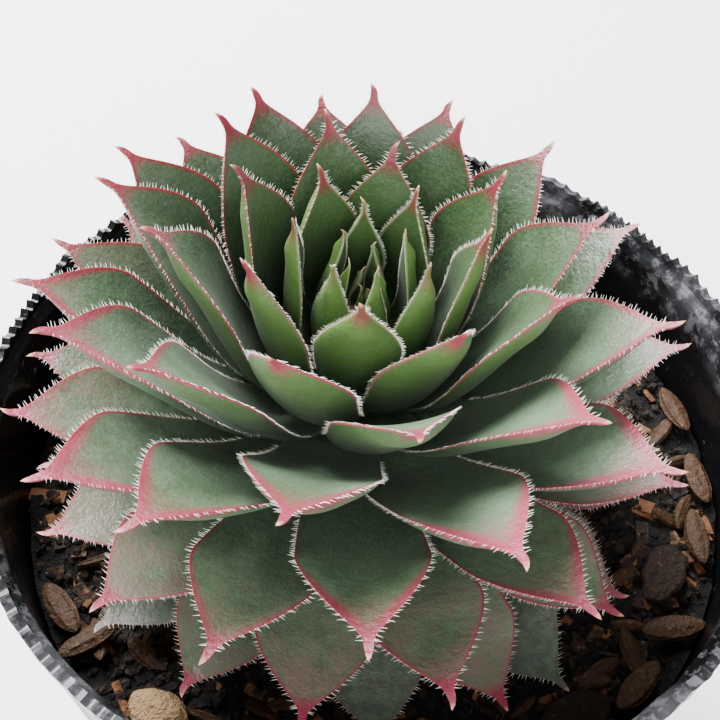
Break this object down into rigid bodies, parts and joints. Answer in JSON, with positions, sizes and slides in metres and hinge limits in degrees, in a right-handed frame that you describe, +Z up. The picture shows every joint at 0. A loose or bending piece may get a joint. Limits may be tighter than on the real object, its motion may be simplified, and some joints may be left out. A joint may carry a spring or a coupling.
{
  "type": "potted rosette succulent",
  "caption": "Green sempervivum rosette with rosy pointed fringed leaves, growing in bark and peat in a thin black round nursery pot.",
  "frame": {"origin": "centre of the pot's flat underside, on the surface that the pot stands on", "axes": "+Z up along the pot's axis; the plant is seen from -Y, with +X to the right"},
  "size_m": [0.09, 0.09, 0.1061],
  "materials": {
    "pot_plastic": "gloss",
    "soil": "matte",
    "leaf": "satin",
    "husk": "matte",
    "bark": "matte",
    "pebble": "matte"
  },
  "bodies": {
    "root": {"pot": "pot_plastic", "soil": "soil", "rosette": "leaf", "pebble": "pebble", "rice_hull_1": "husk", "rice_hull_2": "husk", "rice_hull_3": "husk", "rice_hull_4": "husk", "rice_hull_5": "husk", "rice_hull_6": "husk", "rice_hull_7": "husk", "rice_hull_8": "husk", "rice_hull_9": "husk", "rice_hull_10": "husk", "bark_chip_1": "bark", "bark_chip_2": "bark", "bark_chip_3": "bark", "bark_chip_4": "bark", "bark_chip_5": "bark", "bark_chip_6": "bark"}
  },
  "joints": []
}
